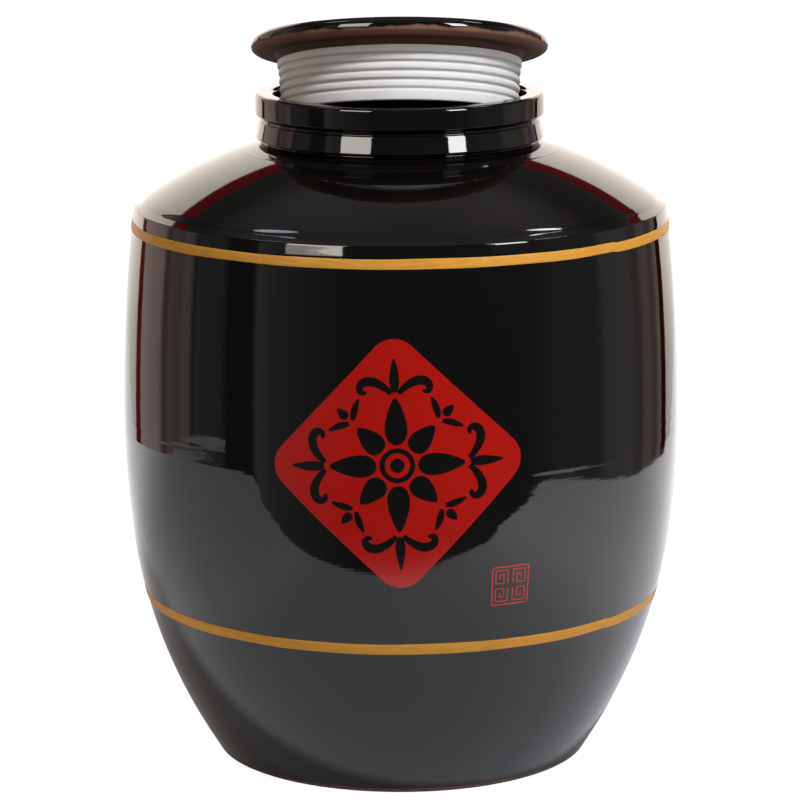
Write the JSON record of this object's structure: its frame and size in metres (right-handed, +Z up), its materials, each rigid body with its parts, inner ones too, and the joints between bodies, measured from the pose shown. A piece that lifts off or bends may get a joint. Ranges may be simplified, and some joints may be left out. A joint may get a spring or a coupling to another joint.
{
  "type": "ceramic wine jar",
  "caption": "Black glazed storage jar with a collared mouth, a plug lid tipped up on the rear of the rim and a ribbed silicone sealing ring round the plug.",
  "frame": {"origin": "on the jar's axis at the plane that its foot stands on", "axes": "+Z up along the jar's axis, -Y towards the decorated front, +X to the viewer's right"},
  "size_m": [0.36, 0.36, 0.4848],
  "materials": {
    "black_glaze": "deep black gloss glaze",
    "lid_glaze": "black gloss glaze over the top of the lid",
    "white_silicone": "translucent white silicone, satin",
    "bare_clay": "unglazed brown stoneware",
    "gold_band": "fired-on ochre gold enamel",
    "red_enamel": "fired-on red enamel"
  },
  "bodies": {
    "jar": {"jar_body": "black_glaze", "jar_shoulder": "black_glaze", "jar_mouth": "black_glaze"},
    "ring": {"sealing_ring": "white_silicone"},
    "lid": {"lid": "lid_glaze", "lid_plug": "bare_clay"}
  },
  "joints": [
    {"name": "lid_tilt", "type": "hinge", "parent": "jar", "child": "ring", "pos_m": [0, 0.0912, 0.4293], "axis": [-1, 0, 0], "range_deg": [-14.5, 55]},
    {"name": "lid_lift", "type": "slide", "parent": "ring", "child": "lid", "axis": [0, 0.2504, 0.9681], "range_m": [0, 0.12]}
  ]
}
